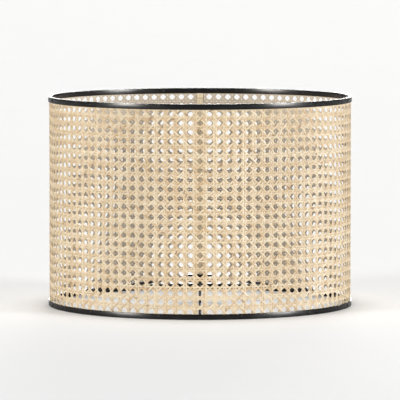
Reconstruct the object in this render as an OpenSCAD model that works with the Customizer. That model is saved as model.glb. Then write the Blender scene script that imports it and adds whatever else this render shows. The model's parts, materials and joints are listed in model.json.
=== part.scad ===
// Drum lamp shade of woven cane webbing.
// The webbing is clamped between flat-bar hoops at the top and the bottom. Three wire arms rise
// from the bottom hoop to a ring that is held by the lampholder.
// Origin: centre of the bottom rim, +Z up. The front is -Y and the webbing's seam is at +Y.

/* [Shade] */
// Outside diameter over the hoops
shade_d = 450; // [300:1:640]
// Height from the bottom rim to the top rim
shade_h = 310; // [160:1:520]

/* [Hoops] */
// Height of the flat bar
hoop_h = 8; // [6:0.5:16]
// Thickness of the flat bar
hoop_t = 1.2; // [0.8:0.1:3]

/* [Webbing] */
// Thickness of the woven cane
cane_t = 2.2; // [1.4:0.1:4]
// How far the cut edge of the webbing stays back from the rims
cane_inset = 1; // [0.5:0.1:3]

/* [Rivets] */
// Rivets in each pair of hoops
rivet_count = 12; // [6:3:24]
// Diameter of the shank
rivet_d = 2.4; // [1.6:0.1:3.2]
// Diameter of the heads
rivet_head_d = 4.6; // [3.6:0.1:5.6]
// Height of the heads
rivet_head_h = 0.9; // [0.5:0.1:1.6]

/* [Fitter] */
// Bore for the lampholder
fitter_bore_d = 42; // [28:0.5:56]
// Width of the ring from its bore to its outer edge
fitter_w = 9; // [6:0.5:16]
// Height of the ring's turned-down edge
fitter_h = 7; // [6:0.5:12]
// Thickness of the pressed steel
fitter_t = 2; // [1:0.1:3]
// Height of the ring's top face above the bottom rim
fitter_rise = 42; // [24:1:90]

/* [Spider arms] */
// Diameter of the wire
wire_d = 4; // [3:0.1:5]
// Angle between the front arm and each of the other two
arm_spread = 120; // [100:1:130]

/* [Seam] */
// Width of the binding cane over the seam
strip_w = 10; // [6:0.5:20]
// Thickness of the binding cane
strip_t = 0.7; // [0.4:0.1:1]
// Stitches along the seam
stitch_count = 20; // [10:1:40]
// Thickness of the waxed thread
thread_t = 0.5; // [0.3:0.1:0.5]
// Width of the waxed thread
thread_w = 1; // [0.6:0.1:1.6]

/* [Hidden] */
$fn = 96;

// Radii from the outside inwards: outer hoop, webbing, inner hoop
outer_r = shade_d / 2;
cane_outer_r = outer_r - hoop_t;
cane_inner_r = cane_outer_r - cane_t;
inner_r = cane_inner_r - hoop_t;

// Heights of the hoops' lower edges, and of the wall that shows between them
bottom_hoop_z = 0;
top_hoop_z = shade_h - hoop_h;
wall_z = hoop_h;
wall_h = shade_h - 2 * hoop_h;

// Directions: the seam is at the back, and each rivet is half a step away from it
seam_angle = 90;
front_angle = 270;
rivet_step = 360 / rivet_count;

// Ring that the arms end at
fitter_bore_r = fitter_bore_d / 2;
fitter_outer_r = fitter_bore_r + fitter_w;
fitter_z = fitter_rise - fitter_h;

// Run of an arm, from the ring's edge down to the middle of the bottom hoop
arm_top_z = fitter_rise - fitter_h / 2;
arm_foot_z = bottom_hoop_z + hoop_h / 2;
arm_run = inner_r - fitter_outer_r;
arm_drop = arm_top_z - arm_foot_z;
arm_slope = atan(arm_drop / arm_run);
arm_length = norm([arm_run, arm_drop]);

// Seam: both strips and the stitches are centred on it. Each stitch is a flat loop round both
// strips, with its legs beside them.
stitch_step = wall_h / stitch_count;
strip_span = 2 * asin(strip_w / 2 / cane_outer_r);
stitch_span = 2 * asin((strip_w / 2 + thread_t) / cane_outer_r);
strip_outer_r = cane_outer_r + strip_t;
strip_inner_r = cane_inner_r - strip_t;
stitch_outer_r = strip_outer_r + thread_t;
stitch_inner_r = strip_inner_r - thread_t;

steel = "#1d1d1f";
cane = "#d9c19a";
binding = "#cfb387";
thread = "#bfa77c";

// Ring with the given radii, standing on z = 0
module ring(outer, inner, height) {
    difference() {
        cylinder(h = height, r = outer);
        translate([0, 0, -1])
            cylinder(h = height + 2, r = inner);
    }
}

// Piece of a ring with the given span in degrees, centred on the seam
module seam_block(outer, inner, span, height) {
    rotate([0, 0, seam_angle - span / 2])
        rotate_extrude(angle = span)
            translate([inner, 0])
                square([outer - inner, height]);
}

// Turns its children to the angle of each rivet, at the middle of a hoop
module at_rivets(hoop_z) {
    for (i = [0 : rivet_count - 1])
        rotate([0, 0, seam_angle + (i + 0.5) * rivet_step])
            translate([0, 0, hoop_z + hoop_h / 2])
                rotate([0, 90, 0])
                    children();
}

// Holes for the rivets through whatever stands at the hoop
module rivet_holes(hoop_z) {
    at_rivets(hoop_z)
        translate([0, 0, inner_r - 2])
            cylinder(h = outer_r - inner_r + 4, d = rivet_d);
}

// Each rivet's shank fills its hole, and its heads lie on the hoops' faces
module rivets(hoop_z) {
    shank_bite = rivet_head_h / 2;
    at_rivets(hoop_z)
        translate([0, 0, inner_r - shank_bite])
            cylinder(h = outer_r - inner_r + 2 * shank_bite, d = rivet_d);
    difference() {
        at_rivets(hoop_z)
            translate([0, 0, outer_r - 1])
                cylinder(h = 1 + rivet_head_h, d = rivet_head_d);
        translate([0, 0, hoop_z])
            cylinder(h = hoop_h, r = outer_r);
    }
    intersection() {
        at_rivets(hoop_z)
            translate([0, 0, inner_r - rivet_head_h])
                cylinder(h = 1 + rivet_head_h, d = rivet_head_d);
        translate([0, 0, hoop_z])
            cylinder(h = hoop_h, r = inner_r);
    }
}

module outer_hoop(hoop_z) {
    difference() {
        translate([0, 0, hoop_z])
            ring(outer_r, cane_outer_r, hoop_h);
        rivet_holes(hoop_z);
    }
}

module inner_hoop(hoop_z) {
    difference() {
        translate([0, 0, hoop_z])
            ring(cane_inner_r, inner_r, hoop_h);
        rivet_holes(hoop_z);
    }
}

// Moves its children to the height of each stitch
module at_stitches() {
    for (i = [0 : stitch_count - 1])
        translate([0, 0, wall_z + (i + 0.5) * stitch_step - thread_w / 2])
            children();
}

// One stitch: a loop with a window that the strips and the webbing between its legs fill
module stitch() {
    difference() {
        seam_block(stitch_outer_r, stitch_inner_r, stitch_span, thread_w);
        translate([0, 0, -1])
            seam_block(strip_outer_r, strip_inner_r, strip_span, thread_w + 2);
    }
}

module seam_strip(outer, inner) {
    translate([0, 0, wall_z])
        seam_block(outer, inner, strip_span, wall_h);
}

module spider_arm(angle) {
    bite = 3;
    rotate([0, 0, angle])
        difference() {
            intersection() {
                translate([fitter_outer_r, 0, arm_top_z])
                    rotate([0, 90 + arm_slope, 0])
                        translate([0, 0, -bite])
                            cylinder(h = arm_length + 2 * bite, d = wire_d);
                cylinder(h = fitter_rise, r = inner_r);
            }
            translate([0, 0, -1])
                cylinder(h = fitter_rise + 2, r = fitter_outer_r);
        }
}

module top_outer_hoop() {
    color(steel) outer_hoop(top_hoop_z);
}

module top_inner_hoop() {
    color(steel) inner_hoop(top_hoop_z);
}

module bottom_outer_hoop() {
    color(steel) outer_hoop(bottom_hoop_z);
}

module bottom_inner_hoop() {
    color(steel) inner_hoop(bottom_hoop_z);
}

module top_rivets() {
    color(steel) rivets(top_hoop_z);
}

module bottom_rivets() {
    color(steel) rivets(bottom_hoop_z);
}

module cane_webbing() {
    color(cane)
        difference() {
            translate([0, 0, cane_inset])
                ring(cane_outer_r, cane_inner_r, shade_h - 2 * cane_inset);
            rivet_holes(bottom_hoop_z);
            rivet_holes(top_hoop_z);
            at_stitches() stitch();
        }
}

module seam_outer_strip() {
    color(binding) seam_strip(strip_outer_r, cane_outer_r);
}

module seam_inner_strip() {
    color(binding) seam_strip(cane_inner_r, strip_inner_r);
}

module seam_stitches() {
    color(thread) at_stitches() stitch();
}

module fitter_ring() {
    color(steel)
        difference() {
            translate([0, 0, fitter_z])
                cylinder(h = fitter_h, r = fitter_outer_r);
            translate([0, 0, fitter_z - 1])
                cylinder(h = fitter_h - fitter_t + 1, r = fitter_outer_r - fitter_t);
            translate([0, 0, fitter_z])
                cylinder(h = fitter_h + 1, r = fitter_bore_r);
        }
}

module spider_arm_front() {
    color(steel) spider_arm(front_angle);
}

module spider_arm_right() {
    color(steel) spider_arm(front_angle + arm_spread);
}

module spider_arm_left() {
    color(steel) spider_arm(front_angle - arm_spread);
}

top_outer_hoop();
top_inner_hoop();
bottom_outer_hoop();
bottom_inner_hoop();
top_rivets();
bottom_rivets();
cane_webbing();
seam_outer_strip();
seam_inner_strip();
seam_stitches();
fitter_ring();
spider_arm_front();
spider_arm_right();
spider_arm_left();
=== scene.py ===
"""Drum lamp shade of cane webbing, modelled round its CAD frame.

The shade is a strip of six-way cane webbing, clamped between black flat-bar hoops. Three wire
arms rise from the bottom hoop to the ring that a lampholder clamps through.
"""

import json
import math
import random

import bmesh
import bpy
import numpy as np
from mathutils import Matrix, Vector


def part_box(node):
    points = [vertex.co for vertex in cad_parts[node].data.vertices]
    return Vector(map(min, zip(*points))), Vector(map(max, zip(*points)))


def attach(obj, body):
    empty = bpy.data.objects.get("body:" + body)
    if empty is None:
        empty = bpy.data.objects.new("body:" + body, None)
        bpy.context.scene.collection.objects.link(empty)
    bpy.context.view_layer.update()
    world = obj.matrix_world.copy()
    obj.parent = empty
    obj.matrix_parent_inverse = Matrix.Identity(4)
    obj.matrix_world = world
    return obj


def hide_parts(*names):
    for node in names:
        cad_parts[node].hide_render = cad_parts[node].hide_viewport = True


bl_info = {
    "name": "Cane Drum Lamp Shade",
    "version": (1, 0, 0),
    "blender": (4, 5, 0),
    "location": "3D View > Sidebar > Lamp Shade",
    "description": "Builds a drum lamp shade of cane webbing between black hoops",
    "category": "Add Mesh",
}

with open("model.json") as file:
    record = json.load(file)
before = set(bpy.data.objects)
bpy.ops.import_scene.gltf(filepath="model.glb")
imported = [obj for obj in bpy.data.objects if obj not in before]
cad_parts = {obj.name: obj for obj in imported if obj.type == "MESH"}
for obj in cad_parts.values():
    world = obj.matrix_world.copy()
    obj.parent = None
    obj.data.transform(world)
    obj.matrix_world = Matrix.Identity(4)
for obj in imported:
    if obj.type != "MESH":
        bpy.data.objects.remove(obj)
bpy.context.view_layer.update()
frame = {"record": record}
BODY = "root"
MM = 0.001
QUARTER_TURN = math.pi / 2
FULL_TURN = 2 * math.pi


def radius_of(node):
    """Largest distance of a node's box from the drum's axis, along X."""
    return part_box(node)[1].x


def height_of(node):
    """Heights of a node's lowest and highest points."""
    low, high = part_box(node)
    return low.z, high.z


# Radii from the outside inwards: outer hoop, webbing, inner hoop
OUTER_R = radius_of("bottom_outer_hoop")
CANE_OUTER_R = radius_of("cane_webbing")
CANE_INNER_R = radius_of("bottom_inner_hoop")
INNER_R = -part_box("spider_arm_front")[0].y

# The webbing's middle radius, its thickness and that of one of the three strands that make it up
CANE_R = (CANE_OUTER_R + CANE_INNER_R) / 2
CANE_T = CANE_OUTER_R - CANE_INNER_R
STRAND_T = CANE_T / 3

# Lowest and highest points of the hoops, the webbing and the lampholder's ring
BOTTOM_HOOP = height_of("bottom_outer_hoop")
TOP_HOOP = height_of("top_outer_hoop")
HOOP_SPANS = {"top": TOP_HOOP, "bottom": BOTTOM_HOOP}
CANE_EDGES = height_of("cane_webbing")
FITTER = height_of("fitter_ring")

FITTER_R = radius_of("fitter_ring")
BORE = next(m for m in frame["record"]["mounts"] if m["kind"] == "bore")["dims"]
SEAM = math.radians(90)
FRONT = math.radians(270)


class WeaveSettings(bpy.types.PropertyGroup):
    cells_around: bpy.props.IntProperty(
        name="Cells around", description="Open cells in one turn of the drum", default=98, min=24
    )
    row_pitch: bpy.props.FloatProperty(
        name="Row pitch", description="Height of one open cell", default=13.6 * MM,
        unit="LENGTH", subtype="DISTANCE", precision=4,
    )
    first_hole: bpy.props.FloatProperty(
        name="First hole", description="Height of the middle of the lowest row of open cells",
        default=10.9 * MM, unit="LENGTH", subtype="DISTANCE", precision=4,
    )
    strand_width: bpy.props.FloatProperty(
        name="Strand width", description="Width of one strand of cane", default=2.5 * MM,
        unit="LENGTH", subtype="DISTANCE", precision=4,
    )
    pair_spacing: bpy.props.FloatProperty(
        name="Pair spacing", description="Distance between the middles of two paired strands",
        default=3.2 * MM, unit="LENGTH", subtype="DISTANCE", precision=4,
    )
    wander: bpy.props.FloatProperty(
        name="Wander", description="How far a strand strays from its true line",
        default=0.14 * MM, unit="LENGTH", subtype="DISTANCE", precision=5,
    )
    slack: bpy.props.FloatProperty(
        name="Slack", description="How far the webbing bows in or out between the hoops",
        default=0.35 * MM, unit="LENGTH", subtype="DISTANCE", precision=5,
    )
    seed: bpy.props.IntProperty(name="Seed", description="Picks the strands' variation", default=7)


class CaneSettings(bpy.types.PropertyGroup):
    pale: bpy.props.FloatVectorProperty(
        name="Pale cane", description="Colour of the palest bark", subtype="COLOR", size=3,
        default=(0.86, 0.745, 0.55), min=0, max=1,
    )
    tan: bpy.props.FloatVectorProperty(
        name="Tan cane", description="Colour of the darkest bark", subtype="COLOR", size=3,
        default=(0.66, 0.475, 0.275), min=0, max=1,
    )
    pith: bpy.props.FloatVectorProperty(
        name="Pith", description="Colour of the split inner face", subtype="COLOR", size=3,
        default=(0.70, 0.60, 0.47), min=0, max=1,
    )


class MetalSettings(bpy.types.PropertyGroup):
    colour: bpy.props.FloatVectorProperty(
        name="Paint colour", description="Colour of the satin paint", subtype="COLOR", size=3,
        default=(0.004, 0.004, 0.0042), min=0, max=1,
    )
    rivets: bpy.props.IntProperty(
        name="Rivets", description="Rivets in each pair of hoops", default=12, min=3
    )
    rivet_head: bpy.props.FloatProperty(
        name="Rivet head", description="Diameter of a rivet's head", default=4.6 * MM,
        unit="LENGTH", subtype="DISTANCE", precision=4,
    )
    rivet_rise: bpy.props.FloatProperty(
        name="Rivet rise", description="Height of a rivet's head", default=0.9 * MM,
        unit="LENGTH", subtype="DISTANCE", precision=4,
    )
    wire: bpy.props.FloatProperty(
        name="Wire", description="Diameter of the spider's wire", default=4 * MM,
        unit="LENGTH", subtype="DISTANCE", precision=4,
    )


class SeamSettings(bpy.types.PropertyGroup):
    stitches: bpy.props.IntProperty(
        name="Stitches", description="Stitches along the seam", default=20, min=2
    )
    thread: bpy.props.FloatProperty(
        name="Thread", description="Width of the waxed thread", default=1.0 * MM,
        unit="LENGTH", subtype="DISTANCE", precision=4,
    )


class StageSettings(bpy.types.PropertyGroup):
    distance: bpy.props.FloatProperty(
        name="Distance", description="From the camera to the drum's axis, along the floor",
        default=6.23, unit="LENGTH", subtype="DISTANCE",
    )
    rise: bpy.props.FloatProperty(
        name="Rise", description="Height of the camera above the top rim", default=0.337,
        unit="LENGTH", subtype="DISTANCE",
    )
    fill: bpy.props.FloatProperty(
        name="Fill", description="Share of the picture's width that the drum takes",
        default=0.76, subtype="FACTOR", min=0.1, max=1,
    )


# ---------------------------------------------------------------- shared helpers


def place_piece(mesh, name, finish, nodes):
    """Makes a mesh a piece that rides with the shade and stands for the named CAD nodes."""
    piece = bpy.data.objects.new(name, mesh)
    bpy.context.scene.collection.objects.link(piece)
    mesh.materials.append(finish)
    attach(piece, BODY)
    if nodes:
        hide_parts(*nodes)
    return piece


def mesh_from(bm, name):
    """The mesh that a bmesh holds. The bmesh is freed."""
    mesh = bpy.data.meshes.new(name)
    bm.to_mesh(mesh)
    bm.free()
    return mesh


def chain(bm, points, closed=False):
    """Vertices at the points (x, z) of the XZ plane, and the edges that join them in order."""
    verts = [bm.verts.new((x, 0, z)) for x, z in points]
    following = verts[1:] + verts[:1] if closed else verts[1:]
    return verts, [bm.edges.new(pair) for pair in zip(verts, following)]


def edges_of(verts):
    """The edges that meet these vertices, each once and in order."""
    return list(dict.fromkeys(edge for vert in verts for edge in vert.link_edges))


def rounded_outline(bm, points, radii):
    """Closed outline through the points (x, z), each corner rounded by its own radius."""
    verts, _ = chain(bm, points, closed=True)
    for vert, radius in zip(verts, radii):
        bmesh.ops.bevel(
            bm, geom=[vert], offset=radius, affect="VERTICES", segments=4, profile=0.5,
            material=-1, offset_type="OFFSET",
        )
    return [*bm.verts, *bm.edges]


def revolve(bm, geometry, steps, axis, merge=1e-6):
    """Spins an outline through a full turn about an axis through the origin, caps what is open
    and turns the faces outwards."""
    bmesh.ops.spin(
        bm, geom=geometry, cent=(0, 0, 0), axis=axis, angle=FULL_TURN, steps=steps,
        use_merge=True, use_normal_flip=False, use_duplicate=False,
    )
    bmesh.ops.remove_doubles(bm, verts=bm.verts, dist=merge)
    bmesh.ops.holes_fill(bm, edges=[edge for edge in bm.edges if edge.is_boundary])
    bmesh.ops.recalc_face_normals(bm, faces=bm.faces)


def smooth(bm, sharp_over=40):
    """Smooth faces, with an edge left sharp where it turns by more than sharp_over degrees."""
    limit = math.radians(sharp_over)
    for face in bm.faces:
        face.smooth = True
    for edge in bm.edges:
        edge.smooth = not edge.is_manifold or edge.calc_face_angle(0) < limit


# ---------------------------------------------------------------- materials


def add(tree, kind, inputs=None, **settings):
    """Adds a shader node. An input is a value, or the socket that feeds it."""
    node = tree.nodes.new(kind)
    for key, value in settings.items():
        setattr(node, key, value)
    for key, value in (inputs or {}).items():
        feed(tree, node.inputs[key], value)
    return node


def feed(tree, socket, value):
    """Links a socket to the one that feeds it, or gives it a value of its own."""
    if isinstance(value, bpy.types.NodeSocket):
        tree.links.new(value, socket)
    else:
        socket.default_value = value


def new_material(name):
    """(material, its node tree, its Principled shader)"""
    material = bpy.data.materials.new(name)
    material.use_nodes = True
    tree = material.node_tree
    return material, tree, tree.nodes["Principled BSDF"]


def shared(name, make, *settings):
    """The material of this name, made the first time that a piece asks for it."""
    return bpy.data.materials.get(name) or make(name, *settings)


def noise(tree, vector, scale, detail, roughness=0.55):
    """Noise from 0 to 1, with this many features to a unit of its vector."""
    return add(
        tree, "ShaderNodeTexNoise",
        {"Vector": vector, "Scale": scale, "Detail": detail, "Roughness": roughness},
    ).outputs["Fac"]


def spread(tree, value, low, high, to_low=0.0, to_high=1.0):
    """Maps low..high to to_low..to_high, clamped."""
    return add(
        tree, "ShaderNodeMapRange",
        {"Value": value, "From Min": low, "From Max": high, "To Min": to_low, "To Max": to_high},
    ).outputs["Result"]


def blend(tree, factor, first, second):
    """Mixes two colours, each three numbers or a socket."""
    node = add(tree, "ShaderNodeMix", data_type="RGBA")
    # A Mix node's own inputs for colour: the factor, A and B
    for index, value in ((0, factor), (6, first), (7, second)):
        is_colour = isinstance(value, (tuple, list))
        feed(tree, node.inputs[index], (*value, 1) if is_colour else value)
    return node.outputs[2]


def maths(tree, operation, first, second):
    """Joins two numbers, each a value or a socket."""
    return add(tree, "ShaderNodeMath", {0: first, 1: second}, operation=operation).outputs[0]


def bump(tree, height, strength, distance):
    """A normal that is raised by height, by up to distance."""
    return add(
        tree, "ShaderNodeBump", {"Height": height, "Strength": strength, "Distance": distance}
    ).outputs["Normal"]


def black_paint(name):
    """Satin powder coat: fine orange peel, a little dust, and slightly uneven gloss."""
    material, tree, shader = new_material(name)
    place = add(tree, "ShaderNodeTexCoord").outputs["Object"]
    patches = noise(tree, place, 42, 4)  # a few centimetres across
    peel = noise(tree, place, 1500, 2)  # under a millimetre
    dust = spread(tree, noise(tree, place, 260, 5, 0.7), 0.62, 0.80, 0.0, 0.25)
    dust_colour = (0.09, 0.085, 0.08)
    colour = tuple(bpy.context.scene.shade_metal.colour)
    lighter = tuple(c * 2.2 + 0.004 for c in colour)
    paint = blend(tree, spread(tree, patches, 0.3, 0.75), colour, lighter)
    feed(tree, shader.inputs["Base Color"], blend(tree, dust, paint, dust_colour))
    feed(tree, shader.inputs["Roughness"], spread(tree, patches, 0.25, 0.8, 0.21, 0.32))
    feed(tree, shader.inputs["Normal"], bump(tree, peel, 0.18, 0.05 * MM))
    shader.inputs["Specular IOR Level"].default_value = 0.35
    return material


def cane_material(name, fibres):
    """Split cane, with this many fibres round a strand. The strand map holds the way round it, 0 to
    0.5 over its bark and on to 1 over its pith, and the metres along it. The attribute tint is the
    strand's own tone."""
    material, tree, shader = new_material(name)
    strand = add(tree, "ShaderNodeUVMap", uv_map="strand").outputs["UV"]
    parts = add(tree, "ShaderNodeSeparateXYZ", {"Vector": strand}).outputs
    around, along = parts["X"], parts["Y"]
    tint = add(tree, "ShaderNodeAttribute", attribute_name="tint").outputs["Fac"]
    own_place = maths(tree, "MULTIPLY", tint, 37.0)

    def grain(across, length, detail):
        """Noise with this many streaks round the strand and to the metre."""
        vector = add(
            tree, "ShaderNodeCombineXYZ",
            {
                "X": maths(tree, "MULTIPLY", around, across),
                "Y": maths(tree, "MULTIPLY", along, length),
                "Z": own_place,
            },
        ).outputs["Vector"]
        return noise(tree, vector, 1.0, detail)

    # Slow drift of tone, single fibres, short dark flecks, and a node about every 0.3 m
    drift = grain(0.6, 9.0, 2)
    streaks = grain(fibres, 45.0, 4)
    flecks = spread(tree, grain(fibres * 0.7, 160.0, 3), 0.66, 0.78, 0.0, 0.5)
    knot_place = maths(tree, "ADD", maths(tree, "MULTIPLY", along, 3.1), own_place)
    from_knot = add(
        tree, "ShaderNodeTexVoronoi", {"W": knot_place, "Scale": 1.0}, voronoi_dimensions="1D"
    ).outputs["Distance"]
    knots = spread(tree, from_knot, 0.004, 0.014, 0.65, 0.0)

    colours = bpy.context.scene.shade_cane
    pale, tan, pith = tuple(colours.pale), tuple(colours.tan), tuple(colours.pith)
    dark_fibre = tuple(c * 0.6 for c in tan)
    dark_pith = tuple(c * 0.72 for c in pith)
    fleck_colour, knot_colour = (0.20, 0.10, 0.04), (0.26, 0.14, 0.06)
    own_tone = maths(tree, "MULTIPLY", tint, 0.65)
    tone = maths(tree, "ADD", own_tone, maths(tree, "MULTIPLY", drift, 0.6))
    bark = blend(tree, spread(tree, tone, 0.3, 1.0), pale, tan)
    bark = blend(tree, spread(tree, streaks, 0.42, 0.72, 0.0, 0.55), bark, dark_fibre)
    bark = blend(tree, flecks, bark, fleck_colour)
    bark = blend(tree, knots, bark, knot_colour)
    inside = blend(tree, spread(tree, streaks, 0.3, 0.75), pith, dark_pith)
    on_pith = spread(tree, around, 0.49, 0.51)
    feed(tree, shader.inputs["Base Color"], blend(tree, on_pith, bark, inside))

    gloss = spread(tree, streaks, 0.2, 0.8, 0.36, 0.56)
    roughness = maths(tree, "ADD", gloss, maths(tree, "MULTIPLY", on_pith, 0.26))
    feed(tree, shader.inputs["Roughness"], roughness)
    feed(tree, shader.inputs["Normal"], bump(tree, streaks, 0.35, 0.12 * MM))
    shader.inputs["Specular IOR Level"].default_value = 0.5
    return material


def thread_material(name):
    """Waxed thread, two-ply: the twist shows as slanted ridges, with painted shade in the grooves
    between them and a painted highlight along their crests.
    """
    material, tree, shader = new_material(name)
    strand = add(tree, "ShaderNodeUVMap", uv_map="strand").outputs["UV"]
    twist = add(
        tree, "ShaderNodeTexWave",
        {"Vector": strand, "Scale": 1.0, "Distortion": 0.6, "Detail": 2.0},
        bands_direction="DIAGONAL",
    ).outputs["Fac"]
    fuzz = noise(tree, strand, 9.0, 4)
    # Painted shade and highlight: the colour follows the twist wave, darker in the grooves and lighter
    # on the ridges that the bump raises
    tone = blend(tree, twist, (0.36, 0.25, 0.13), (0.60, 0.47, 0.29))
    fuzzy = blend(tree, spread(tree, fuzz, 0.4, 0.8, 0.0, 0.5), tone, (0.30, 0.20, 0.10))
    feed(tree, shader.inputs["Base Color"], fuzzy)
    feed(tree, shader.inputs["Roughness"], spread(tree, fuzz, 0.2, 0.8, 0.42, 0.6))
    feed(tree, shader.inputs["Normal"], bump(tree, twist, 0.6, 0.15 * MM))
    return material


def floor_material(name):
    """Matt pale studio paper. It throws back less light than it shows, so that the shade's inside
    stays darker than its outside, as it would high above a floor."""
    material, tree, shader = new_material(name)
    place = add(tree, "ShaderNodeTexCoord").outputs["Object"]
    seen = add(tree, "ShaderNodeLightPath").outputs["Is Camera Ray"]
    tone = spread(tree, noise(tree, place, 3, 2), 0.2, 0.8)
    paper = blend(tree, tone, (0.885, 0.885, 0.885), (0.895, 0.895, 0.895))
    feed(tree, shader.inputs["Base Color"], blend(tree, seen, (0.40, 0.40, 0.40), paper))
    shader.inputs["Roughness"].default_value = 0.95
    shader.inputs["Specular IOR Level"].default_value = 0.1
    return material


# ---------------------------------------------------------------- steel pieces

EASE = 0.3 * MM  # rounding of a bar's or a plate's cut edge
HOOP_STEPS = 288
RING_STEPS = 96
RIVET_STEPS = 20
WIRE_STEPS = 28

# A weld's fillet: how far it stands out from the wire, how far it reaches along it, how far its
# end is sunk into the piece that it joins, and the cuts in its curve
WELD_FLARE = 1.1 * MM
WELD_REACH = 2.2 * MM
WELD_SUNK = 0.6 * MM
WELD_CUTS = 4


def steel_piece(bm, name, node):
    """A black-painted piece that stands for one CAD node."""
    paint = shared("satin_black_paint", black_paint)
    return place_piece(mesh_from(bm, name), name, paint, [node])


def hoop_piece(name, node, outer, inner, span):
    """A flat-bar hoop with its long edges eased."""
    bm = bmesh.new()
    low, high = span
    corners = [(inner, low), (outer, low), (outer, high), (inner, high)]
    revolve(bm, rounded_outline(bm, corners, [EASE] * 4), HOOP_STEPS, (0, 0, 1))
    smooth(bm)
    steel_piece(bm, name, node)


class SHADE_OT_hoops(bpy.types.Operator):
    """Build the four hoops that clamp the webbing's edges"""

    bl_idname = "shade.hoops"
    bl_label = "Hoops"

    def execute(self, context):
        for place, span in HOOP_SPANS.items():
            hoop_piece(f"{place}_outer_bar", f"{place}_outer_hoop", OUTER_R, CANE_OUTER_R, span)
            hoop_piece(f"{place}_inner_bar", f"{place}_inner_hoop", CANE_INNER_R, INNER_R, span)
        return {"FINISHED"}


def rivet_head(metal, face, way):
    """A low dome on the X axis. Its foot is just under the hoop's face, and it rises out of it, the
    way of +X or, where way is -1, of -X."""
    bm = bmesh.new()
    reach, rise = metal.rivet_head / 2, metal.rivet_rise
    skirt = rise / 4
    sunk = 0.15 * MM
    steps = 6
    curve = [
        (skirt + (rise - skirt) * math.sin(a), reach * math.cos(a))
        for a in (QUARTER_TURN * i / steps for i in range(steps))
    ]
    profile = [(-sunk, reach), *curve, (rise, 0)]
    verts, edges = chain(bm, [(face + way * x, radius) for x, radius in profile])
    revolve(bm, verts + edges, RIVET_STEPS, (1, 0, 0))
    smooth(bm)
    return mesh_from(bm, "rivet_head")


class SHADE_OT_rivets(bpy.types.Operator):
    """Build the rivets through each pair of hoops"""

    bl_idname = "shade.rivets"
    bl_label = "Rivets"

    def execute(self, context):
        metal = context.scene.shade_metal
        heads = [rivet_head(metal, OUTER_R, 1), rivet_head(metal, INNER_R, -1)]
        step = FULL_TURN / metal.rivets
        for place, span in HOOP_SPANS.items():
            bm = bmesh.new()
            raised = Matrix.Translation((0, 0, sum(span) / 2))
            for i in range(metal.rivets):
                turned = Matrix.Rotation(SEAM + (i + 0.5) * step, 4, "Z")
                for head in heads:
                    before = len(bm.verts)
                    bm.from_mesh(head)
                    bm.verts.ensure_lookup_table()
                    bmesh.ops.transform(bm, matrix=turned @ raised, verts=bm.verts[before:])
            steel_piece(bm, f"{place}_rivet_heads", f"{place}_rivets")
        for head in heads:
            bpy.data.meshes.remove(head)
        return {"FINISHED"}


def arm_piece(name, node, angle, wire):
    """A straight wire arm, turned about its own axis, with a weld fillet at each end."""
    top = Vector((FITTER_R, 0, sum(FITTER) / 2))
    foot = Vector((INNER_R, 0, sum(BOTTOM_HOOP) / 2))
    along = foot - top
    length = along.length
    half = wire / 2
    fillet = [
        (WELD_REACH * (1 - math.cos(a)), half + WELD_FLARE * (1 - math.sin(a)))
        for a in (QUARTER_TURN * i / WELD_CUTS for i in range(1, WELD_CUTS + 1))
    ]
    cuts = 10
    straight = length - 2 * WELD_REACH
    points = [(-WELD_SUNK, 0), (-WELD_SUNK, half + WELD_FLARE), *fillet]
    points += [(WELD_REACH + straight * i / cuts, half) for i in range(1, cuts)]
    points += [(length - x, radius) for x, radius in reversed(fillet)]
    points += [(length + WELD_SUNK, half + WELD_FLARE), (length + WELD_SUNK, 0)]
    bm = bmesh.new()
    verts, edges = chain(bm, points)
    revolve(bm, verts + edges, WIRE_STEPS, (1, 0, 0))
    lean = Matrix.Rotation(along.angle(Vector((1, 0, 0))), 4, "Y")
    matrix = Matrix.Rotation(angle, 4, "Z") @ Matrix.Translation(top) @ lean
    bmesh.ops.transform(bm, matrix=matrix, verts=bm.verts)
    smooth(bm)
    steel_piece(bm, name, node)


def ring_piece():
    """The pressed ring: a flat plate with its bore, and a turned-down edge."""
    low, high = FITTER
    bore, plate = BORE["r_mm"] * MM, BORE["length_mm"] * MM
    bm = bmesh.new()
    points = [
        (bore, high - plate), (FITTER_R - plate, high - plate), (FITTER_R - plate, low),
        (FITTER_R, low), (FITTER_R, high), (bore, high),
    ]
    inner_bend, outer_bend, drawn_edge = 0.5 * MM, 2.0 * MM, 0.4 * MM
    radii = [EASE, inner_bend, EASE, EASE, outer_bend, drawn_edge]
    revolve(bm, rounded_outline(bm, points, radii), RING_STEPS, (0, 0, 1))
    smooth(bm)
    steel_piece(bm, "lampholder_ring", "fitter_ring")


class SHADE_OT_spider(bpy.types.Operator):
    """Build the lampholder ring and its three arms"""

    bl_idname = "shade.spider"
    bl_label = "Ring and arms"

    def execute(self, context):
        ring_piece()
        wire = context.scene.shade_metal.wire
        third = FULL_TURN / 3
        for side, angle in (("front", 0), ("right", third), ("left", -third)):
            arm_piece(f"{side}_arm", f"spider_arm_{side}", FRONT + angle, wire)
        return {"FINISHED"}


# ---------------------------------------------------------------- woven pieces

CUT_BACK = 1.5 * MM  # from the webbing's cut edge to a strand's end
END_GAP = 0.4 * MM  # least distance between a strand's end and its next ring of points
CUPPING = 0.08  # drop of a strand's edges below its middle, as a share of its thickness
LANE_EDGE = 0.06  # of a strand's lane in the baking map, left free on each side
GRAIN_SHIFTS = 20  # metres of grain over which the strands' own stretches are spread
WOVEN_FIBRES = 9.0
BINDING_FIBRES = 34.0


def map_strand(bm, length, where):
    """Gives a strand its two maps. where(point, middle) is the way round it and the share of its
    length at one corner of the face that has that middle. The strand map is as long as the strand,
    and the baking map is 1 long."""
    strand = bm.loops.layers.uv.new("strand")
    baked = bm.loops.layers.uv.new("OFBake")
    for face in bm.faces:
        middle = face.calc_center_median()
        for loop in face.loops:
            around, share = where(loop.vert.co, middle)
            loop[strand].uv = (around, share * length)
            loop[baked].uv = (around, share)


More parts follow.
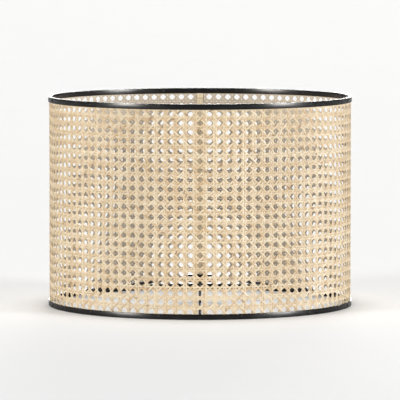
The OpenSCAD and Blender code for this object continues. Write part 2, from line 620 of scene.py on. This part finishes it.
def strand_template(stops, corners):
    """A closed tube of unit half width (X) and half thickness (Y), with a ring at each stop (Z).
    Its maps go round it from one edge over the bark, and back under the pith."""
    bm = bmesh.new()
    start = Matrix.Translation((0, 0, stops[0]))
    made = bmesh.ops.create_circle(bm, cap_ends=True, segments=corners, radius=1, matrix=start)
    rim = edges_of(made["verts"])
    for low, high in zip(stops, stops[1:]):
        grown = bmesh.ops.extrude_edge_only(bm, edges=rim)["geom"]
        verts = [part for part in grown if isinstance(part, bmesh.types.BMVert)]
        bmesh.ops.translate(bm, vec=(0, 0, high - low), verts=verts)
        edges = [part for part in grown if isinstance(part, bmesh.types.BMEdge)]
        rim = [edge for edge in edges if set(edge.verts) <= set(verts)]
    bmesh.ops.edgeloop_fill(bm, edges=rim)
    bmesh.ops.recalc_face_normals(bm, faces=bm.faces)
    smooth(bm, sharp_over=60)
    length = stops[-1] - stops[0]
    on_edge = 1e-5

    def where(point, middle):
        y = point.y if abs(point.y) > on_edge else math.copysign(on_edge, middle.y)
        around = math.atan2(y, -point.x) / FULL_TURN % 1.0
        if middle.y < 0 and around < 0.25:
            around = 1.0
        return around, (point.z - stops[0]) / length

    map_strand(bm, length, where)
    return mesh_from(bm, "strand")


def coordinates(mesh):
    """A mesh's points, one row each."""
    found = np.empty(len(mesh.vertices) * 3, np.float32)
    mesh.vertices.foreach_get("co", found)
    return found.reshape(-1, 3).astype(float)


def weave(name, template, count, place, seed):
    """A mesh with the template repeated, each copy's points put where place(index, points) says.
    Each copy has its own tint, its own stretch of grain and its own lane in the baking map. The
    template is removed."""
    bm = bmesh.new()
    for _ in range(count):
        bm.from_mesh(template)
    mesh = mesh_from(bm, name)
    points = coordinates(template)
    placed = np.concatenate([place(i, points) for i in range(count)])
    mesh.vertices.foreach_set("co", placed.astype(np.float32).ravel())

    rng = random.Random(seed)
    tints = np.float32([rng.random() for _ in range(count)])
    shifts = np.float32([rng.random() * GRAIN_SHIFTS for _ in range(count)])
    tint = mesh.attributes.new("tint", "FLOAT", "POINT")
    tint.data.foreach_set("value", np.repeat(tints, len(points)))
    lanes = np.arange(count)[:, None]
    corners = len(template.loops)
    for layer in ("strand", "OFBake"):
        data = mesh.uv_layers[layer].data
        uv = np.empty(len(mesh.loops) * 2, np.float32)
        data.foreach_get("uv", uv)
        uv = uv.reshape(count, corners, 2)
        if layer == "strand":
            uv[:, :, 1] += shifts[:, None]
        else:
            uv[:, :, 0] = (lanes + LANE_EDGE + (1 - 2 * LANE_EDGE) * uv[:, :, 0]) / count
        data.foreach_set("uv", uv.ravel())
    mesh.update()
    bpy.data.meshes.remove(template)
    return mesh


def on_drum(u, z, height):
    """Points on the webbing: u is the distance round it from the seam, and height is outwards from
    the middle of its thickness."""
    angle = SEAM + u / CANE_R
    r = CANE_R + height
    return np.stack([r * np.cos(angle), r * np.sin(angle), z], 1)


def bow(u, z, slack):
    """The webbing's slight bow in and out, in three and seven waves round it, none at the hoops."""
    share = np.clip((z - BOTTOM_HOOP[1]) / (TOP_HOOP[0] - BOTTOM_HOOP[1]), 0, 1)
    angle = u / CANE_R
    swell = np.sin(3 * angle + 0.6) + 0.6 * np.sin(7 * angle + 2.1 + 3 * share)
    return slack * np.sin(math.pi * share) * swell


def stray(rng, wander):
    """A smooth sideways stray of a strand's own, as a function of the distance along it: three
    waves, each of them shorter and smaller than the one before."""
    waves = [
        (wander * rng.uniform(0.3, 1) / (i + 1), rng.uniform(6, 12) * (i + 1) * 2, rng.uniform(0, 6.3))
        for i in range(3)
    ]

    def sideways(along):
        return sum(size * np.sin(rate * along + phase) for size, rate, phase in waves)

    return sideways


def strand_points(points, u, z, height, lean, width):
    """Puts a template round a centre line at u, z and height, leaning by an angle from level."""
    across = points[:, 0] * width / 2
    lift = (points[:, 1] / 2 - CUPPING * np.abs(points[:, 0])) * STRAND_T
    return on_drum(u - math.sin(lean) * across, z + math.cos(lean) * across, height + lift)


def ring_stops(marks, low, high, origin, pitch):
    """Every mark, given in cells from each crossing, between low and high, with both ends."""
    cells = range(int((low - origin) / pitch) - 1, int((high - origin) / pitch) + 2)
    found = [origin + (cell + mark) * pitch for cell in cells for mark in marks]
    return [low, *(stop for stop in found if low + END_GAP < stop < high - END_GAP), high]


class Webbing:
    """Where the strands of the webbing run. Going round the drum, or up it, the first strand of a
    pair comes before the pair's middle and the second after it."""

    def __init__(self, settings):
        self.around = settings.cells_around
        self.across = FULL_TURN * CANE_R / self.around
        self.up = settings.row_pitch
        self.half = settings.pair_spacing / 2
        self.width = settings.strand_width
        self.slack = settings.slack
        self.first_row = settings.first_hole - self.up / 2
        reach = TOP_HOOP[1] - self.half - self.width / 2
        self.rows = int((reach - self.first_row) / self.up) + 1
        if self.rows < 1 or 2 * self.half + self.width >= min(self.across, self.up):
            raise ValueError("the paired strands leave no open cell")
        rng = random.Random(settings.seed)
        self.upright_strays = [stray(rng, settings.wander) for _ in range(2 * self.around)]
        self.level_strays = [stray(rng, settings.wander) for _ in range(2 * self.rows)]
        self.slanted_strays = [stray(rng, settings.wander) for _ in range(2 * self.around)]

    def over_under(self, along, origin, pitch, sign):
        """Height of a paired strand: over one of the strands that it crosses and under the other,
        and back to the middle between the pairs."""
        phase = (along - origin) / pitch
        offset = (phase - np.round(phase)) * pitch / self.half
        fade = np.clip(2.4 - 0.9 * np.abs(offset), 0, 1)
        return sign * np.clip(offset, -1, 1) * fade * STRAND_T / 2

    def put(self, points, u, z, height, lean):
        """A strand's points round its centre line, which bows with the webbing."""
        return strand_points(points, u, z, height + bow(u, z, self.slack), lean, self.width)

    def upright(self, index, points):
        """The points of one upright strand."""
        cell, side = divmod(index, 2)
        way = 2 * side - 1
        z = points[:, 2]
        u = (cell + 0.5) * self.across + way * self.half + self.upright_strays[index](z)
        height = self.over_under(z, self.first_row, self.up, -way)
        return self.put(points, u, z, height, QUARTER_TURN)

    def level(self, index, points):
        """The points of one level strand, which goes once round the drum."""
        row, side = divmod(index, 2)
        way = 2 * side - 1
        u = points[:, 2]
        z = self.first_row + row * self.up + way * self.half + self.level_strays[index](u)
        height = self.over_under(u, self.across / 2, self.across, way)
        return self.put(points, u, z, height, 0)

    def slanted(self, index, points):
        """The points of one slanted strand. The first of each cell leans one way, and passes
        outside the level pairs and inside the upright ones. The second does the opposite."""
        start, side = divmod(index, 2)
        way = 1 - 2 * side
        z = points[:, 2]
        run = (z - self.first_row) / self.up
        u = (start + way * run) * self.across + self.slanted_strays[index](z)
        height = way * np.clip(1.4 * np.cos(FULL_TURN * run), -1, 1) * STRAND_T
        return self.put(points, u, z, height, math.atan2(self.up, way * self.across))


def woven_piece(name, stops, count, place, seed, nodes):
    """One set of the webbing's strands."""
    mesh = weave(name, strand_template(stops, corners=4), count, place, seed)
    cane = shared("woven_cane", cane_material, WOVEN_FIBRES)
    return place_piece(mesh, name, cane, nodes)


class SHADE_OT_webbing(bpy.types.Operator):
    """Weave the cane webbing: upright pairs, level pairs and two slanted sets"""

    bl_idname = "shade.webbing"
    bl_label = "Cane webbing"

    def execute(self, context):
        settings = context.scene.shade_weave
        web = Webbing(settings)
        seed = settings.seed
        low, high = CANE_EDGES[0] + CUT_BACK, CANE_EDGES[1] - CUT_BACK
        turn_length = FULL_TURN * CANE_R
        # Where a strand needs rings of points: at its crossings, and where it bends between them
        pair_mark = web.half / web.up
        pair_marks = [-pair_mark, pair_mark, 0.3, 0.5, 0.7]
        slant_marks = [-0.125, 0.125, 0.375, 0.625]

        upright_stops = ring_stops(pair_marks, low, high, web.first_row, web.up)
        uprights = woven_piece(
            "cane_uprights", upright_stops, 2 * web.around, web.upright, seed, ["cane_webbing"]
        )
        level_stops = ring_stops(pair_marks, 0, turn_length, web.across / 2, web.across)
        levels = woven_piece("cane_levels", level_stops, 2 * web.rows, web.level, seed + 1, [])
        slant_stops = ring_stops(slant_marks, low, high, web.first_row, web.up)
        slants = woven_piece("cane_slants", slant_stops, 2 * web.around, web.slanted, seed + 2, [])

        return {"FINISHED"}


def binding_piece(side, way, seed):
    """A strip of binding cane with squared edges, on the outside of the webbing where way is 1 or
    on its inside where way is -1."""
    node = f"seam_{side}_strip"
    low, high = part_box(node)
    width = high.x - low.x
    steps = 24
    stops = [low.z + (high.z - low.z) * i / steps for i in range(steps + 1)]
    face = (CANE_T + STRAND_T) / 2
    wander = 0.15 * MM

    def place(index, points):
        corner = np.maximum(np.abs(points[:, 0]), np.abs(points[:, 1]))[:, None]
        squared = points[:, :2] / np.where(corner > 0, corner ** 0.6, 1)
        shaped = np.column_stack([way * squared, points[:, 2]])
        u = wander * np.sin(31 * points[:, 2] + way)
        return strand_points(shaped, u, points[:, 2], way * face, QUARTER_TURN, width)

    name = f"{side}_seam_cane"
    mesh = weave(name, strand_template(stops, corners=12), 1, place, seed)
    cane = shared("split_cane", cane_material, BINDING_FIBRES)
    place_piece(mesh, name, cane, [node])


LOOP_R = 4  # radius of the stitch template, in the thread's own half widths
LOOP_TWISTS = 14  # length of the strand map round one stitch, which sets its twists


def beside(angle, other):
    """An angle as a share of a full turn, on the same side of the join as the other angle."""
    share = angle / FULL_TURN % 1.0
    return share + round(other / FULL_TURN % 1.0 - share)


def stitch_template():
    """A ring of thread about Z, with its maps."""
    bm = bmesh.new()
    upright = Matrix.Translation((LOOP_R, 0, 0)) @ Matrix.Rotation(QUARTER_TURN, 4, "X")
    ring = bmesh.ops.create_circle(bm, cap_ends=False, segments=8, radius=1, matrix=upright)
    revolve(bm, edges_of(ring["verts"]) + ring["verts"], 40, (0, 0, 1), merge=1e-4)
    smooth(bm, sharp_over=180)

    def where(point, middle):
        turned = math.atan2(point.z, math.hypot(point.x, point.y) - LOOP_R)
        side = math.atan2(middle.z, math.hypot(middle.x, middle.y) - LOOP_R)
        way = beside(math.atan2(point.y, point.x), math.atan2(middle.y, middle.x))
        return beside(turned, side), way

    map_strand(bm, LOOP_TWISTS, where)
    return mesh_from(bm, "stitch")


def stitch_piece(settings):
    """Thread loops round both strips, one template turned to a rounded square and repeated."""
    low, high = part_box("seam_stitches")
    half_width = (high.x - low.x) / 2
    clearance = 0.35 * MM
    half_depth = CANE_T / 2 + STRAND_T + clearance
    thick = settings.thread / 2
    flattened = 0.8 * thick
    squareness = 5
    tilt = 0.05
    rng = random.Random(settings.stitches)
    tilts = [rng.uniform(-tilt, tilt) for _ in range(settings.stitches)]
    step = (TOP_HOOP[0] - BOTTOM_HOOP[1]) / settings.stitches

    def place(index, points):
        angle = np.arctan2(points[:, 1], points[:, 0])
        radius = np.hypot(points[:, 0], points[:, 1]) - LOOP_R
        cos, sin = np.cos(angle), np.sin(angle)
        square = (np.abs(cos) ** squareness + np.abs(sin) ** squareness) ** (-1 / squareness)
        u = cos * square * (half_width + radius * flattened)
        height = sin * square * (half_depth + radius * flattened)
        z = BOTTOM_HOOP[1] + (index + 0.5) * step + points[:, 2] * thick + tilts[index] * u
        return on_drum(u, z, height)

    mesh = weave("seam_thread", stitch_template(), settings.stitches, place, seed=5)
    bm = bmesh.new()
    bm.from_mesh(mesh)
    bmesh.ops.recalc_face_normals(bm, faces=bm.faces)
    bm.to_mesh(mesh)
    bm.free()
    thread = shared("waxed_twine", thread_material)
    place_piece(mesh, "seam_thread", thread, ["seam_stitches"])


class SHADE_OT_seam(bpy.types.Operator):
    """Bind the webbing's seam with cane inside and out, and stitch it"""

    bl_idname = "shade.seam"
    bl_label = "Seam"

    def execute(self, context):
        binding_piece("outer", 1, seed=32)
        binding_piece("inner", -1, seed=31)
        stitch_piece(context.scene.shade_seam)
        return {"FINISHED"}


# ---------------------------------------------------------------- stage

FLOOR_HALF = 400  # half the floor's side, in metres
SENSOR = 36  # width of the camera's sensor, in millimetres
CLIP_END = 1000  # furthest that the camera sees, in metres

# The soft suns: azimuth from the front, elevation and width of the disc in degrees, strength and
# colour. Three are low, so that they light the drum's wall and hardly the floor.
SUNS = {
    "key": (66, 6, 20, 3.9, (1.0, 0.99, 0.975)),
    "fill": (-58, 6, 20, 3.5, (1.0, 0.975, 0.93)),
    "rear": (175, 6, 20, 1.6, (1.0, 0.99, 0.97)),
    "top": (180, 87, 24, 1.84, (0.985, 0.99, 1.0)),
}

# Strength of the world's light on the shade, and as the camera sees it, which is the floor's tone
WORLD_LIGHT = 0.12
WORLD_SEEN = 0.92


def sun(name, azimuth, elevation, disc, strength, colour):
    """A soft sun. Only its direction counts, and its place just keeps it clear of the shade."""
    light = bpy.data.lights.new(name, "SUN")
    light.energy = strength
    light.angle = math.radians(disc)
    light.color = colour
    lamp = bpy.data.objects.new(name, light)
    a, e = math.radians(azimuth), math.radians(elevation)
    towards = Vector((math.sin(a) * math.cos(e), -math.cos(a) * math.cos(e), math.sin(e)))
    lamp.rotation_euler = towards.to_track_quat("Z", "Y").to_euler()
    lamp.location = towards * 3
    bpy.context.scene.collection.objects.link(lamp)


def studio_world():
    """Soft white light all round. The camera sees it as bright as the floor."""
    world = bpy.data.worlds.new("studio")
    world.use_nodes = True
    tree = world.node_tree
    seen = add(tree, "ShaderNodeLightPath").outputs["Is Camera Ray"]
    background = tree.nodes["Background"]
    background.inputs["Color"].default_value = (1, 1, 1, 1)
    feed(tree, background.inputs["Strength"], spread(tree, seen, 0.0, 1.0, WORLD_LIGHT, WORLD_SEEN))
    return world


def studio_floor():
    """A plain level floor under the shade."""
    bm = bmesh.new()
    bmesh.ops.create_grid(bm, x_segments=1, y_segments=1, size=FLOOR_HALF)
    mesh = mesh_from(bm, "floor")
    mesh.materials.append(shared("studio_floor", floor_material))
    floor = bpy.data.objects.new("floor", mesh)
    bpy.context.scene.collection.objects.link(floor)


def studio_camera(settings):
    """The camera, in front of the drum and a little above its rim, aimed at its middle."""
    camera = bpy.data.cameras.new("camera")
    camera.sensor_width = SENSOR
    half_angle = math.atan(OUTER_R / settings.distance) / settings.fill
    camera.lens = SENSOR / 2 / math.tan(half_angle)
    camera.dof.use_dof = False
    camera.clip_end = CLIP_END
    eye = bpy.data.objects.new("camera", camera)
    eye.location = (0, -settings.distance, TOP_HOOP[1] + settings.rise)
    target = Vector((0, 0, (BOTTOM_HOOP[0] + TOP_HOOP[1]) / 2))
    eye.rotation_euler = (target - eye.location).to_track_quat("-Z", "Y").to_euler()
    bpy.context.scene.collection.objects.link(eye)
    bpy.context.scene.camera = eye


class SHADE_OT_stage(bpy.types.Operator):
    """Set the floor, the studio light and the camera"""

    bl_idname = "shade.stage"
    bl_label = "Stage"

    def execute(self, context):
        studio_floor()
        context.scene.world = studio_world()
        for name, values in SUNS.items():
            sun(name, *values)
        context.scene.view_settings.view_transform = "Standard"
        studio_camera(context.scene.shade_stage)
        return {"FINISHED"}


class VIEW3D_PT_shade(bpy.types.Panel):
    """Lists the shade's sizes and the steps that build it"""

    bl_label = "Lamp Shade"
    bl_idname = "VIEW3D_PT_shade"
    bl_space_type = "VIEW_3D"
    bl_region_type = "UI"
    bl_category = "Lamp Shade"

    def draw(self, context):
        for group in GROUPS:
            box = self.layout.box()
            settings = getattr(context.scene, group)
            for name in settings.__annotations__:
                box.prop(settings, name)
        for step in STEPS:
            self.layout.operator(step.bl_idname)


STEPS = (
    SHADE_OT_stage, SHADE_OT_hoops, SHADE_OT_rivets, SHADE_OT_spider, SHADE_OT_webbing,
    SHADE_OT_seam,
)
GROUPS = {
    "shade_weave": WeaveSettings,
    "shade_cane": CaneSettings,
    "shade_metal": MetalSettings,
    "shade_seam": SeamSettings,
    "shade_stage": StageSettings,
}
CLASSES = (*GROUPS.values(), *STEPS, VIEW3D_PT_shade)


def register():
    for kind in CLASSES:
        bpy.utils.register_class(kind)
    for name, group in GROUPS.items():
        setattr(bpy.types.Scene, name, bpy.props.PointerProperty(type=group))


def unregister():
    for name in GROUPS:
        delattr(bpy.types.Scene, name)
    for kind in reversed(CLASSES):
        bpy.utils.unregister_class(kind)


def main():
    register()
    bpy.ops.shade.stage()
    bpy.ops.shade.hoops()
    bpy.ops.shade.rivets()
    bpy.ops.shade.spider()
    bpy.ops.shade.webbing()
    bpy.ops.shade.seam()


if __name__ == "__main__":
    main()
